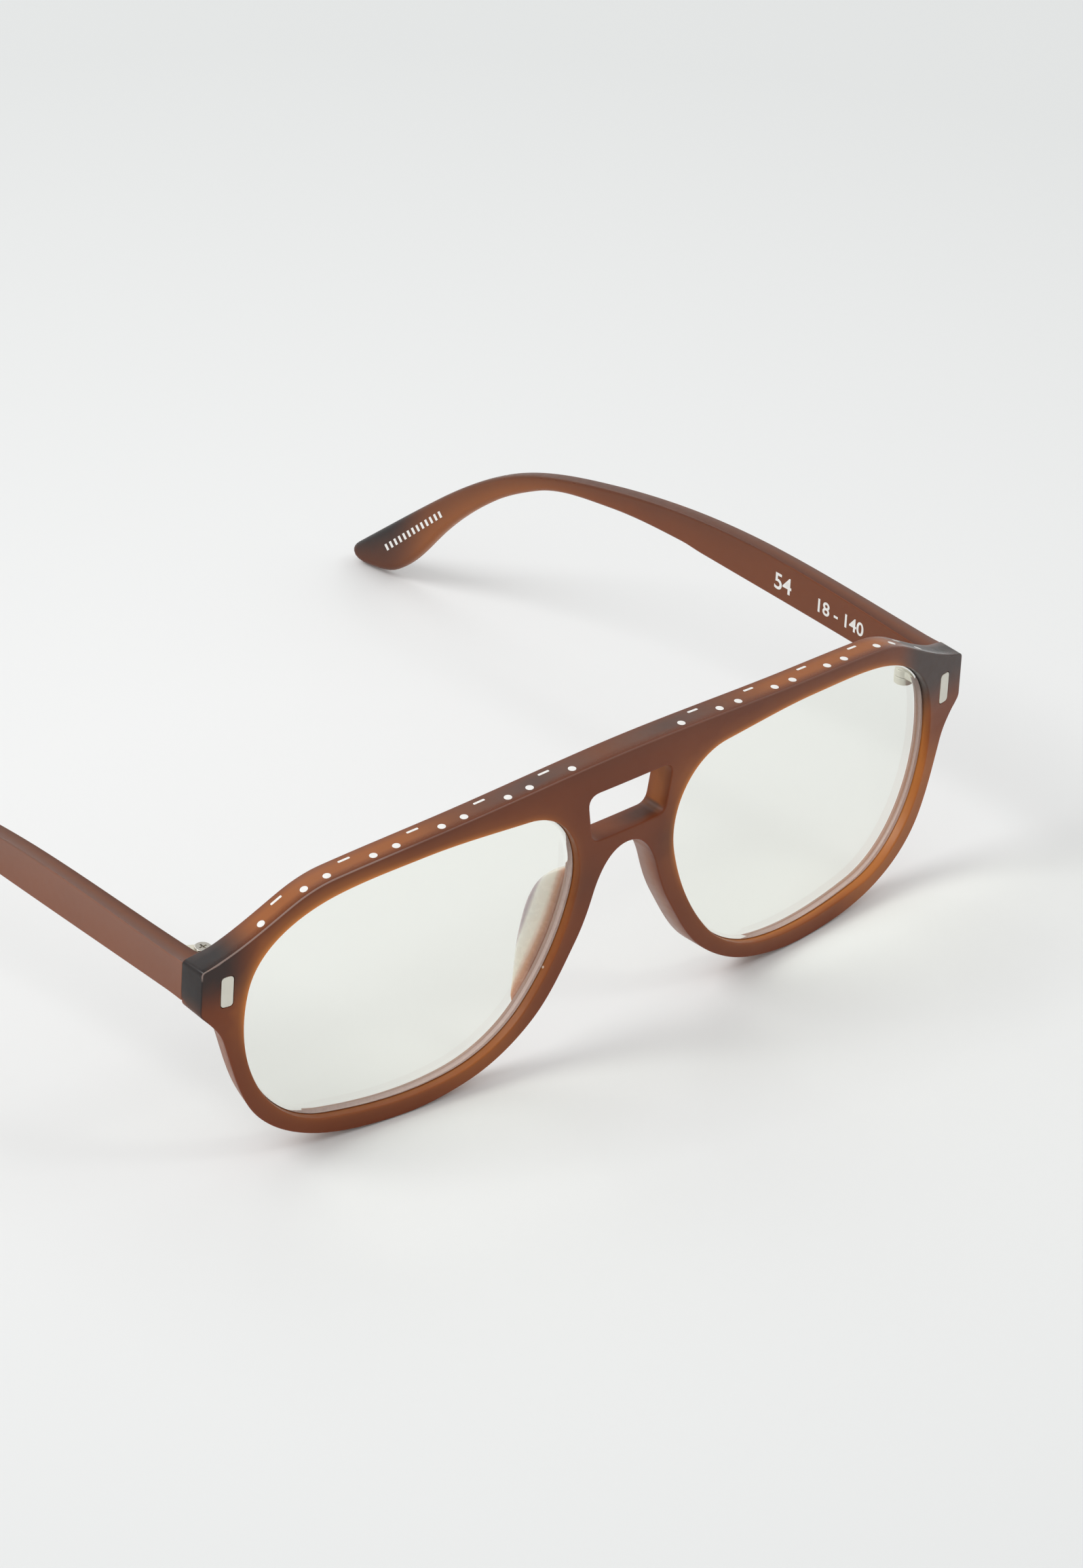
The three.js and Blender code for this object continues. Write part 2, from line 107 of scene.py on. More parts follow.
TEMPLE_FRONT_Y = 11.55
TEMPLE_OUTER_X = 69.5
TEMPLE_TOE_IN = 0.011
TEMPLE_BOW = 0.0001
TEMPLE_THICKNESS_FRONT = 3.4
TEMPLE_THICKNESS_TIP = 2.2
TEMPLE_THINNING_LENGTH = 25.0
MITRE_LENGTH = 12.0
MITRE_SLOPE = 0.156
SEAM_CLOSING = 0.27

PAD_TOP = -18.0
PAD_BOTTOM = -37.0
PAD_PROUD = 3.6
PAD_THICKNESS = 2.4
PAD_SPLAY = 0.85

FRONT_CORNER = 0.55
EDGE_RADIUS = 0.2
RIM_DRAFT = 0.5

STEP = 0.7
TEMPLE_STEP = 1.0
CORNER_STEPS = 6
SOFTENED_STEPS = 5
EDGE_STEPS = 5

BROW = [
    (0, 0, 0), (30, -1.75, -5), (50, -3.9, -8.5), (56.7, -6.35, -30),
    (FRONT_HALF_WIDTH, -13.1, -17),
]
RIM = [
    (FRONT_HALF_WIDTH, -20.0, -134), (66.2, -25.2, -108), (62.3, -35.9, -118),
    (49.5, -44.5, -167), (37.2, -45.6, 180), (26.1, -43.9, 164), (15.7, -38.0, 138),
    (8.6, -27.8, 120), (5.9, -21.3, 107), (0, -14.8, 180),
]
APERTURE = [
    (62.7, -17.8, 101.5), (49.1, -6.6, 168), (35.6, -5.1, 176), (18.1, -5.4, -177),
    (9.0, -19.6, -77.6), (16.8, -35.5, -50), (28.8, -42.3, -10.7), (49.1, -42.1, 8.4),
    (62.7, -17.8, 101.5),
]
TEMPLE_TOP = [
    (TEMPLE_FRONT_Y, -13.4, 0), (44, -13.3, -2), (78, -18.1, -14), (100, -26.0, -30),
    (114, -36.3, -41), (130, -50.6, -42),
]
# The tip starts 0.01 mm short of the CAD model's, so that its curve stays inside that model's box.
TEMPLE_LOWER = [
    (131.19, -52.7, -105), (128.0, -53.75, 172), (121.5, -51.7, 143), (112.4, -41.3, 130),
    (101.3, -30.6, 142), (93, -25.3, 151), (77, -20.9, 170), (62, -19.5, 177), (58, -19.6, 180),
    (TEMPLE_FRONT_Y, -19.3, 180),
]

# -------- from the front's own axes to the row frame

fold = next(j for j in frame["joints"] if j["name"] == "left_temple_fold")
TILT = math.atan2(-fold["axis"][1], fold["axis"][2])
TURN = Matrix.Rotation(TILT, 3, "X")
HINGE_POINT = Vector((HINGE_X, HINGE_Y, HINGE_MIDDLE))
SHIFT = Vector(fold["pos_m"]) * 1000 - TURN @ HINGE_POINT


def place(x, y, z, side=1):
    """The row frame's metres for a point of the left half; side -1 gives its mirror image."""
    point = (TURN @ Vector((x, y, z)) + SHIFT) / 1000
    return Vector((side * point.x, point.y, point.z))


def bend(u, depth, v):
    """Bends the sheet round the face; its ends are squared up to meet the temples."""
    radius = WRAP_RADIUS - depth
    angle = u / WRAP_RADIUS
    t = min(1.0, max(0.0, (abs(u) - SQUARE_FROM) / (FRONT_HALF_WIDTH - SQUARE_FROM)))
    squared = t * t * (3 - 2 * t)
    return (radius + squared * depth) * math.sin(angle), WRAP_RADIUS - radius * math.cos(angle), v


# -------- outlines

def headed(node):
    heading = math.radians(node[2])
    return Vector((math.cos(heading), math.sin(heading)))


def smooth_curve(start, end, step):
    """Points of one smooth curve between two nodes, without its last point."""
    first = Vector(start[:2])
    last = Vector(end[:2])
    chord = (last - first).length
    turn = (end[2] - start[2] + 180) % 360 - 180
    handle = chord / 3 / math.cos(math.radians(turn / 4)) ** 2
    second = first + headed(start) * handle
    third = last - headed(end) * handle
    count = max(2, math.ceil(chord / step))
    points = []
    for i in range(count):
        t = i / count
        s = 1 - t
        points.append(s**3 * first + 3 * s * s * t * second + 3 * s * t * t * third + t**3 * last)
    return points


def chain(nodes, step=STEP):
    points = []
    for start, end in zip(nodes, nodes[1:]):
        points += smooth_curve(start, end, step)
    return points + [Vector(nodes[-1][:2])]


def straight(start, end):
    count = max(1, math.ceil((end - start).length / STEP))
    return [start.lerp(end, i / count) for i in range(count)]


def mirrored(points):
    return [Vector((-p.x, p.y)) for p in reversed(points)]


def arc(centre, radius, start, end, count):
    angles = [math.radians(start + (end - start) * i / count) for i in range(count + 1)]
    return [Vector((centre[0] + radius * math.cos(a), centre[1] + radius * math.sin(a))) for a in angles]


def corner_curve(first, corner, last, steps):
    """Points of the curve that rounds one corner."""
    points = []
    for k in range(steps + 1):
        t = k / steps
        points.append((1 - t) ** 2 * first + 2 * t * (1 - t) * corner + t * t * last)
    return points


def rounded(corners, radius):
    """A closed loop through corners, each rounded."""
    points = []
    for i, corner in enumerate(corners):
        before = (corners[i - 1] - corner).normalized()
        after = (corners[(i + 1) % len(corners)] - corner).normalized()
        reach = radius / math.tan(math.acos(max(-1, min(1, before.dot(after)))) / 2)
        points += corner_curve(corner + before * reach, corner, corner + after * reach, CORNER_STEPS)
    return points


def dense(loop):
    """The same closed loop, with long straight runs divided."""
    points = []
    for i, start in enumerate(loop):
        points += straight(start, loop[(i + 1) % len(loop)])
    return points


def box_loop(x0, x1, y0, y1, radius):
    corners = [Vector((x1, y1)), Vector((x0, y1)), Vector((x0, y0)), Vector((x1, y0))]
    return rounded(corners, radius)


def plaque_loop(clear):
    """The outline of a plaque, or of the pocket it sits in."""
    half_width = PLAQUE_WIDTH / 2 + clear
    half_height = PLAQUE_HEIGHT / 2 + clear
    return box_loop(
        PLAQUE_U - half_width, PLAQUE_U + half_width,
        PLAQUE_V - half_height, PLAQUE_V + half_height, PLAQUE_CORNER + clear,
    )


def leaf_loop(ends, clear, corner):
    """The outline of a hinge leaf, or of the pocket it sits in."""
    bottom = HINGE_TOP - HINGE_HEIGHT - clear
    return box_loop(ends[0] - clear, ends[1] + clear, bottom, HINGE_TOP + clear, corner)


def circle_loop(x, y, radius, count=40):
    return arc((x, y), radius, 0, 360, count)[:-1]


def front_outline():
    """Clockwise, from the middle of the brow."""
    brow = chain(BROW)
    side = straight(Vector(BROW[-1][:2]), Vector(RIM[0][:2]))
    rim = chain(RIM)
    right = soften(brow[:-1] + side + rim, len(brow) - 1, FRONT_CORNER)
    right = soften(right, nearest(right, Vector(RIM[0][:2])), FRONT_CORNER)
    return right + mirrored(right)[1:-1]


def nearest(points, target):
    return min(range(len(points)), key=lambda i: (points[i] - target).length)


def soften(points, index, radius):
    """Rounds the one sharp corner of a chain of points."""
    corner = points[index]
    before = [p for p in points[:index] if (p - corner).length > radius]
    after = [p for p in points[index + 1:] if (p - corner).length > radius]
    first = corner + (points[index - 1] - corner).normalized() * radius
    last = corner + (points[index + 1] - corner).normalized() * radius
    return before + corner_curve(first, corner, last, SOFTENED_STEPS) + after


def window_loop():
    corners = [
        Vector((WINDOW_HALF_TOP, WINDOW_TOP)), Vector((-WINDOW_HALF_TOP, WINDOW_TOP)),
        Vector((-WINDOW_HALF_BOTTOM, WINDOW_BOTTOM)), Vector((WINDOW_HALF_BOTTOM, WINDOW_BOTTOM)),
    ]
    return dense(rounded(corners, WINDOW_CORNER))


OUTLINE = front_outline()
APERTURE_LOOP = chain(APERTURE)[:-1]
WINDOW_LOOP = window_loop()


# -------- mouldings

def edge_steps():
    """Inset and depth, in edge radii, round a quarter circle from the face to the wall."""
    angles = [math.pi / 2 * k / EDGE_STEPS for k in range(EDGE_STEPS + 1)]
    return [(1 - math.sin(a), 1 - math.cos(a)) for a in angles]


def section(walls=((0, 0.5),), front_supports=(0.1,), back_supports=(0.1,)):
    """Rings from one face round the edge to the other: inset in radii and mm, depth in radii and share."""
    front = [(1, extra, 0, 0) for extra in front_supports]
    front += [(inset, 0, depth, 0) for inset, depth in edge_steps()]
    middle = [(0, inset, 0, share) for inset, share in walls]
    back = [(inset, 0, -depth, 1) for inset, depth in reversed(edge_steps())]
    back += [(1, extra, 0, 1) for extra in back_supports]
    return front + middle + back


def small_section(support):
    return section(front_supports=(support,), back_supports=(support,))


class Moulding:
    """A closed solid between two faces, with rounded edges, mapped into place point by point."""

    def __init__(self, thickness, radius, place_point, spacing=0.0, back_radius=None):
        self.thickness = thickness if callable(thickness) else lambda point: thickness
        self.radius = radius if callable(radius) else lambda point: radius
        self.back_radius = back_radius or self.radius
        self.place_point = place_point
        self.spacing = spacing
        self.corners = []
        self.faces = []
        self.finishes = []

    def add_face(self, corners, finish=0):
        self.faces.append(corners)
        self.finishes.append(finish)

    def add_ring(self, points, depths):
        start = len(self.corners)
        self.corners += [(p.x, p.y, d) for p, d in zip(points, depths)]
        return list(range(start, start + len(points)))

    def add_band(self, ring, following, finish=0):
        for i, corner in enumerate(ring):
            after = (i + 1) % len(ring)
            self.add_face([corner, ring[after], following[after], following[i]], finish)

    def rings(self, loop, rows, band_finishes=None, draft=None):
        """Builds the wall round a loop, and returns its first and last rings."""
        ways = inward(loop)
        front_radii = [self.radius(p) for p in loop]
        back_radii = [self.back_radius(p) for p in loop]
        deep = [self.thickness(p) for p in loop]
        drafts = [draft(p) if draft else 0.0 for p in loop]
        rings = []
        for inset_radii, inset, depth_radii, share in rows:
            radii = back_radii if share == 1 else front_radii
            points = [
                p + way * (inset_radii * r + inset + share * slope)
                for p, way, r, slope in zip(loop, ways, radii, drafts)
            ]
            rings.append(self.add_ring(points, [depth_radii * r + share * t for r, t in zip(radii, deep)]))
        for k, (ring, following) in enumerate(zip(rings, rings[1:])):
            self.add_band(ring, following, band_finishes[k] if band_finishes else 0)
        return rings[0], rings[-1]

    def pocket(self, loop, from_back, depth):
        """Sinks a pocket into one face, and returns the ring at its mouth."""
        sign = -1 if from_back else 1
        base = [self.thickness(p) if from_back else 0.0 for p in loop]
        mouth = self.add_ring(loop, base)
        floor = self.add_ring(loop, [b + sign * depth for b in base])
        self.add_band(mouth, floor)
        self.fill([floor], base[0] + sign * depth, spacing=0.0)
        return mouth

    def fill(self, rings, depth, spacing=None):
        """Closes a face inside its first ring and outside the others."""
        spacing = self.spacing if spacing is None else spacing
        fixed = [corner for ring in rings for corner in ring]
        points = [Vector(self.corners[corner][:2]) for corner in fixed]
        extra = grid_between(points, spacing) if spacing else []
        starts = np.cumsum([0] + [len(ring) for ring in rings])
        loops = [turning_left(list(range(starts[k], starts[k + 1])), points) for k in range(len(rings))]
        made = delaunay_2d_cdt(points + extra, [], loops, 1, 1e-7, True)
        sources = made[3]
        used = {}
        for triangle, origin in zip(made[2], made[5]):
            if list(origin) != [0]:
                continue
            face = []
            for k in triangle:
                source = sources[k][0]
                if source >= len(fixed) and source not in used:
                    p = extra[source - len(fixed)]
                    level = depth(p) if callable(depth) else depth
                    used[source] = self.add_ring([p], [level])[0]
                face.append(fixed[source] if source < len(fixed) else used[source])
            self.add_face(face)

    def mesh(self, name, side=1):
        mesh = bpy.data.meshes.new(name)
        points = [place(*self.place_point(*corner), side) for corner in self.corners]
        mesh.from_pydata(points, [], self.faces)
        mesh.polygons.foreach_set("material_index", self.finishes)
        return mesh


def turning_left(order, points):
    """The same loop of point numbers, running anticlockwise."""
    area = sum(points[a].cross(points[b]) for a, b in zip(order, order[1:] + order[:1]))
    return order if area > 0 else order[::-1]


def inward(loop):
    """The way into the material at each point of a loop, long enough at corners to keep the inset."""
    ways = []
    count = len(loop)
    for i, point in enumerate(loop):
        before = (point - loop[i - 1]).normalized()
        after = (loop[(i + 1) % count] - point).normalized()
        first = Vector((before.y, -before.x))
        second = Vector((after.y, -after.x))
        ways.append((first + second) / max(0.4, 1 + first.dot(second)))
    return ways


def grid_between(points, spacing):
    """Points of a triangular grid, clear of the given points."""
    fixed = np.array([p[:] for p in points])
    low = fixed.min(0)
    high = fixed.max(0)
    rows = int((high[1] - low[1]) / spacing / 0.866) + 1
    columns = int((high[0] - low[0]) / spacing) + 1
    found = []
    for row in range(rows):
        y = low[1] + row * spacing * 0.866
        near = fixed[np.abs(fixed[:, 1] - y) < spacing]
        xs = low[0] + (np.arange(columns) + 0.5 * (row % 2)) * spacing
        if len(near):
            away = np.hypot(xs[:, None] - near[None, :, 0], y - near[None, :, 1]).min(1)
            xs = xs[away > 0.62 * spacing]
        found += [Vector((x, y)) for x in xs]
    return found


def moulded(
    loops, thickness, radius, place_point, rows,
    front_pockets=(), back_pockets=(), spacing=0.0, draft=None, back_radius=None,
):
    """A moulding with one outer loop and any holes; only the outer wall can have a draft."""
    made = Moulding(thickness, radius, place_point, spacing, back_radius)
    fronts = []
    backs = []
    for k, (loop, section_rows) in enumerate(zip(loops, rows)):
        first, last = made.rings(loop, section_rows, draft=None if k else draft)
        fronts.append(first)
        backs.append(last)
    fronts += [made.pocket(loop, False, depth) for loop, depth in front_pockets]
    backs += [made.pocket(loop, True, depth) for loop, depth in back_pockets]
    made.fill(fronts, 0.0)
    made.fill(backs, made.thickness)
    return made


def small_part(loop, thickness, place_point, edge, support=0.05, front_pockets=()):
    """A small moulding without holes, from its anticlockwise outline."""
    rows = [small_section(support)]
    return moulded([list(reversed(loop))], thickness, edge, place_point, rows, front_pockets)


def finished(name, meshes, materials, body, replaces=(), sharp=35.0):
    """Joins meshes into one shaded object that rides on a body."""
    shape = bmesh.new()
    for mesh in meshes:
        shape.from_mesh(mesh)
        bpy.data.meshes.remove(mesh)
    bmesh.ops.recalc_face_normals(shape, faces=shape.faces)
    joined = bpy.data.meshes.new(name)
    shape.to_mesh(joined)
    shape.free()
    joined.polygons.foreach_set("use_smooth", [True] * len(joined.polygons))
    joined.set_sharp_from_angle(angle=math.radians(sharp))
    for material in materials:
        joined.materials.append(material)
    piece = bpy.data.objects.new(name, joined)
    bpy.context.scene.collection.objects.link(piece)
    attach(piece, body)
    if replaces:
        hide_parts(*replaces)
    return piece


def add_values(piece, name, values):
    attribute = piece.data.attributes.new(name, "FLOAT", "POINT")
    attribute.data.foreach_set("value", np.asarray(values, np.float32))


# -------- materials

def srgb(red, green, blue):
    def linear(c):
        c /= 255
        return c / 12.92 if c <= 0.04045 else ((c + 0.055) / 1.055) ** 2.4
    return (linear(red), linear(green), linear(blue), 1.0)


class Finish:
    """A material with its Principled shader, and short ways to add nodes."""

    def __init__(self, name, roughness=0.4, metallic=0.0):
        self.material = bpy.data.materials.new(name)
        self.material.use_nodes = True
        self.nodes = self.material.node_tree.nodes
        self.links = self.material.node_tree.links
        self.shader = self.nodes["Principled BSDF"]
        self.set("Roughness", roughness)
        self.set("Metallic", metallic)
        self.where = self.nodes.new("ShaderNodeTexCoord").outputs["Object"]

    def set(self, socket, value):
        self.shader.inputs[socket].default_value = value

    def link(self, output, socket):
        self.links.new(output, self.shader.inputs[socket])

    def feed(self, value, socket):
        """Links an output to a socket, or sets the socket to a constant."""
        if isinstance(value, bpy.types.NodeSocket):
            self.links.new(value, socket)
        else:
            socket.default_value = value

    def add(self, kind, values):
        """A new node, with each named or numbered socket fed."""
        node = self.nodes.new("ShaderNode" + kind)
        for socket, value in values.items():
            self.feed(value, node.inputs[socket])
        return node

    def noise(self, scale, detail, stretch=None):
        where = self.where
        if stretch:
            where = self.add("Mapping", {"Scale": stretch, "Vector": where}).outputs["Vector"]
        return self.add("TexNoise", {"Scale": scale, "Detail": detail, "Vector": where}).outputs["Fac"]

    def attribute(self, name):
        node = self.nodes.new("ShaderNodeAttribute")
        node.attribute_name = name
        return node.outputs["Fac"]

    def remap(self, value, low, high, to_low, to_high):
        ranges = {"From Min": low, "From Max": high, "To Min": to_low, "To Max": to_high}
        return self.add("MapRange", {"Value": value, **ranges}).outputs["Result"]

    def mix(self, factor, first, second):
        node = self.nodes.new("ShaderNodeMix")
        node.data_type = "RGBA"
        share = next(s for s in node.inputs if s.name == "Factor" and s.type == "VALUE")
        colours = [s for s in node.inputs if s.type == "RGBA"]
        for socket, value in zip([share] + colours, (factor, first, second)):
            self.feed(value, socket)
        return next(s for s in node.outputs if s.type == "RGBA")

    def math(self, operation, first, second):
        node = self.add("Math", {0: first, 1: second})
        node.operation = operation
        return node.outputs["Value"]

    def ramp(self, value, stops):
        node = self.add("ValToRGB", {"Fac": value})
        elements = node.color_ramp.elements
        while len(elements) < len(stops):
            elements.new(0.5)
        for element, (position, colour) in zip(elements, stops):
            element.position = position
            element.color = colour
        return node.outputs["Color"]

    def bump(self, height, strength, distance):
        node = self.add("Bump", {"Strength": strength, "Distance": distance, "Height": height})
        self.link(node.outputs["Normal"], "Normal")

    def specks(self, scale, size, share):
        """Small round flecks, in the given share of the cells of a random pattern."""
        cells = self.add("TexVoronoi", {"Scale": scale, "Vector": self.where})
        split = self.add("SeparateColor", {"Color": cells.outputs["Color"]})
        chosen = self.math("LESS_THAN", split.outputs["Red"], share)
        small = self.math("LESS_THAN", cells.outputs["Distance"], size)
        return self.math("MULTIPLY", chosen, small)


def acetate_finish():
    finish = Finish("matte_brown_acetate")
    clouds = finish.noise(70, 3.0)
    body = finish.mix(clouds, srgb(104, 47, 16), srgb(119, 58, 23))
    # painted light: orange where light shines through thin acetate
    lit = finish.mix(finish.attribute("painted_glow"), body, srgb(220, 138, 62))
    # painted shade: near-black where little light passes through the acetate
    deep = finish.mix(finish.attribute("deep"), lit, srgb(38, 32, 31))
    # painted sheen: a pale grey for reflected light on tops, edges and end pieces
    with_painted_sheen = finish.mix(finish.attribute("painted_sheen"), deep, srgb(172, 154, 146))
    flecks = finish.math("MULTIPLY", finish.specks(300, 0.06, 0.04), 0.7)
    finish.link(finish.mix(flecks, with_painted_sheen, srgb(214, 196, 182)), "Base Color")
    satin = finish.remap(finish.noise(900, 3.0), 0.3, 0.7, 0.34, 0.44)
    polished_edge = finish.math("MULTIPLY", finish.attribute("polish"), 0.2)
    finish.link(finish.math("SUBTRACT", satin, polished_edge), "Roughness")
    finish.set("Specular IOR Level", 0.3)
    finish.set("Subsurface Weight", 0.3)
    finish.set("Subsurface Radius", (1.0, 0.42, 0.2))
    finish.set("Subsurface Scale", 0.0015)
    finish.bump(finish.noise(9000, 2.0), 0.25, 0.00002)
    return finish.material


def pad_finish():
    finish = Finish("clear_pad_acetate")
    colour = finish.ramp(finish.attribute("height"), [
        (0.0, srgb(176, 104, 66)), (0.22, srgb(205, 152, 118)), (0.45, srgb(228, 220, 208)),
        (0.86, srgb(226, 224, 218)), (1.0, srgb(168, 156, 164)),
    ])
    cloudy = finish.mix(finish.math("MULTIPLY", finish.noise(400, 2.0), 0.12), colour, srgb(240, 232, 224))
    finish.link(cloudy, "Base Color")
    finish.link(finish.remap(finish.noise(1200, 2.0), 0.3, 0.7, 0.2, 0.32), "Roughness")
    finish.set("Subsurface Weight", 0.5)
    finish.set("Subsurface Radius", (1.0, 0.8, 0.7))
    finish.set("Subsurface Scale", 0.0015)
    return finish.material


def let_light_through(finish, colour):
    """Lamps shine through the glass instead of casting a caustic."""
    clear = finish.add("BsdfTransparent", {"Color": colour})
    is_shadow = finish.nodes.new("ShaderNodeLightPath").outputs["Is Shadow Ray"]
    shaders = {1: finish.shader.outputs["BSDF"], 2: clear.outputs["BSDF"]}
    mixed = finish.add("MixShader", {"Fac": is_shadow, **shaders})
    finish.links.new(mixed.outputs["Shader"], finish.nodes["Material Output"].inputs["Surface"])


def lens_finish():
    finish = Finish("clear_lens")
    finish.set("Base Color", srgb(250, 252, 247))
    finish.set("Transmission Weight", 1.0)
    finish.set("IOR", 1.5)
    finish.link(finish.remap(finish.noise(60, 2.0), 0.3, 0.7, 0.0, 0.02), "Roughness")
    let_light_through(finish, srgb(246, 248, 243))
    return finish.material


def lens_edge_finish(name, first, second):
    finish = Finish(name, roughness=0.5)
    finish.link(finish.mix(finish.noise(2500, 2.0), first, second), "Base Color")
    return finish.material


def metal_finish(name, first, second, roughness, stretch=None):
    finish = Finish(name, metallic=1.0)
    finish.link(finish.mix(finish.noise(300, 3.0), first, second), "Base Color")
    brushed = finish.noise(2600, 3.0, stretch=stretch)
    finish.link(finish.remap(brushed, 0.3, 0.7, roughness - 0.06, roughness + 0.08), "Roughness")
    finish.bump(brushed, 0.2, 0.00001)
    return finish.material


def print_finish():
    finish = Finish("white_print", roughness=0.55)
    finish.link(finish.mix(finish.noise(1500, 2.0), srgb(226, 224, 220), srgb(250, 249, 246)), "Base Color")
    finish.bump(finish.noise(6000, 2.0), 0.3, 0.00001)
    return finish.material


ACETATE = acetate_finish()
PAD = pad_finish()
LENS = lens_finish()
LENS_EDGE = lens_edge_finish("polished_lens_edge", srgb(222, 214, 210), srgb(246, 242, 240))
LENS_BEVEL = lens_edge_finish("ground_lens_bevel", srgb(188, 162, 156), srgb(208, 188, 182))
PLAQUE_METAL = metal_finish(
    "satin_plaque_metal", srgb(222, 219, 208), srgb(206, 203, 192), roughness=0.34, stretch=(1, 1, 0.15),
)
HINGE_METAL = metal_finish("hinge_metal", srgb(236, 233, 220), srgb(220, 216, 202), roughness=0.5)
SCREW_METAL = metal_finish("screw_metal", srgb(214, 210, 200), srgb(184, 181, 172), roughness=0.2)
PRINT = print_finish()


# -------- the front

# Colour levels along the brow, as (millimetres, level) stops; all but the last are from its middle outwards.
# painted light: levels of light shining through the brow's top
TOP_PAINTED_GLOW = [(0, 0.1), (20, 0.1), (32, 0.26), (56, 0.28), (60, 0.18), (66, 0.1)]
# painted shade levels along the brow's top
TOP_PAINTED_SHADE = [
    (0, 0.3), (5, 0.5), (12, 0.76), (20, 0.5), (28, 0.18), (34, 0), (59, 0), (63, 0.7), (68, 1),
]
# painted sheen levels along the brow's top
TOP_PAINTED_SHEEN = [(0, 0.04), (6, 0.1), (16, 0.1), (26, 0.02), (34, 0)]
# painted highlight levels along the front top edge, by signed millimetres
PAINTED_EDGE_HIGHLIGHT = [(-68, 0.6), (-44, 0.5), (-36, 0.2), (60, 0.16), (68, 0)]
BROW_MIDDLE = -4.0
BROW_END = -13.2
AT_EDGE = 0.5


def distance_to(loop, points):
    fixed = np.array([p[:] for p in loop])
    return np.hypot(points[:, None, 0] - fixed[None, :, 0], points[:, None, 1] - fixed[None, :, 1]).min(1)


def smooth_step(low, high, value):
    t = np.clip((value - low) / (high - low), 0, 1)
    return t * t * (3 - 2 * t)


def levels_through(stops, value):
    """Straight runs between (place, level) stops."""
    places, levels = zip(*stops)
    return np.interp(value, places, levels)


class FrontPlaces:
    """Where each point of the front is: on the sheet, through it, and how far from each edge."""

    def __init__(self, corners):
        at = np.array(corners)
        self.u, self.v, self.depth = at.T
        self.side = np.abs(self.u)
        self.opening = distance_to(APERTURE_LOOP, np.column_stack([self.side, self.v]))
        self.outside = distance_to(OUTLINE, at[:, :2])
        self.window = distance_to(WINDOW_LOOP, at[:, :2])
        self.wall = smooth_step(0.15, 0.7, self.depth) * smooth_step(0.15, 0.7, FRONT_THICKNESS - self.depth)
        self.on_top = (self.outside < AT_EDGE) * (self.v > BROW_END) * (self.outside < self.opening)
        self.from_middle = np.abs(self.u - BROW_MIDDLE)

    def near(self, u, v, reach):
        """Nearly 1 round a place on the sheet, falling away over a reach."""
        return np.exp(-((self.u - u) ** 2 + (self.v - v) ** 2) / reach**2)


def front_painted_glow(at):
    """Painted light: thin edges turned from the light, and the brow's shoulders, are painted orange for the
    light that passes through them.
    """
    upper = smooth_step(-34, -12, at.v)
    across = (at.side - LENS_CENTRE[0]) / LENS_REACH[0] * np.sign(at.u)
    up = (at.v - LENS_CENTRE[1]) / LENS_REACH[1]
    lit_edge = smooth_step(-0.1, 0.5, 0.7 * (up - across)) * smooth_step(-31, -17, at.v)
    reach = 0.45 + 0.4 * smooth_step(-36, -48, at.u) * upper
    face = 0.85 * lit_edge * np.exp(-at.opening / reach) + 0.12 * np.exp(-at.opening / 0.6)
    face += 0.24 * smooth_step(42, 52, at.u) * smooth_step(-22, -30, at.v)
    face += 0.14 * at.near(-23, -41, 7) + 0.1 * at.near(10, -8, 3)
    lens_wall = np.where(at.u > 0, 0.5, 0.2)
    window_wall = np.where(at.u > WINDOW_HALF_BOTTOM - 1, 0.25, 0.06)
    wall = np.where(at.opening < 0.9, lens_wall, np.where(at.window < AT_EDGE, window_wall, 0.12))
    wall = np.where(at.on_top, levels_through(TOP_PAINTED_GLOW, at.from_middle), wall)
    return np.clip(face * (1 - at.wall) + wall * at.wall, 0, 1)


def front_painted_shade(at):
    """Painted shade: the material is painted dark at the end pieces, either side of the bridge, below the
    brow's edge and on the window's floor, where little light passes through it or reaches it.
    """
    face = 0.22 * np.exp(-at.outside / 1.1) * smooth_step(-15, -12, at.v)
    face += 0.35 * at.near(8, -17, 3.5) + 0.25 * at.near(-8, -19, 3.5)
    window_floor = (at.window < AT_EDGE) * (at.v < WINDOW_BOTTOM + 1) * smooth_step(-3, 4, at.u)
    wall = np.where(at.on_top, levels_through(TOP_PAINTED_SHADE, at.from_middle), 0.7 * window_floor)
    turned = (at.wall > 0.5) | ((at.outside < 0.12) & (at.side > 69))
    start = np.where(at.u > 0, 53.0, 60.5)
    lowest = np.where(turned, -24.5, -20.5)
    highest = np.where(turned, -17.0, -14.5)
    end_piece = smooth_step(start, start + 6.5, at.side) * smooth_step(lowest, highest, at.v)
    deep = face * (1 - at.wall) + wall * at.wall
    return np.clip(np.maximum(deep, end_piece * np.where(turned, 1.0, 0.92)), 0, 1)


def front_painted_sheen(at, polished_edge):
    """Painted sheen and highlights: the surface is painted paler on the left end, along the front top edge,
    behind the lenses and beside the nose.
    """
    left_end = 0.08 * smooth_step(50, 58, at.u) * smooth_step(-24, -14, at.v)
    left_back_edge = 0.35 * smooth_step(50, 56, at.u) * at.on_top * smooth_step(3.4, 4.0, at.depth)
    # painted highlight: a pale line along the front top edge
    painted_edge_highlight = polished_edge * (at.outside > 0.004) * levels_through(PAINTED_EDGE_HIGHLIGHT, at.u)
    top = at.on_top * at.wall * levels_through(TOP_PAINTED_SHEEN, at.from_middle)
    behind_lens = 0.6 * (at.opening < 0.05) * (at.depth > LENS_FRONT + LENS_THICKNESS / 2)
    nasal_wall = (at.outside < 0.3) * (at.side < 20) * (at.v < -18)
    nasal = 0.5 * nasal_wall * smooth_step(0.5, 3.5, at.depth)
    return np.max([left_end, left_back_edge, painted_edge_highlight, top, behind_lens, nasal], axis=0)


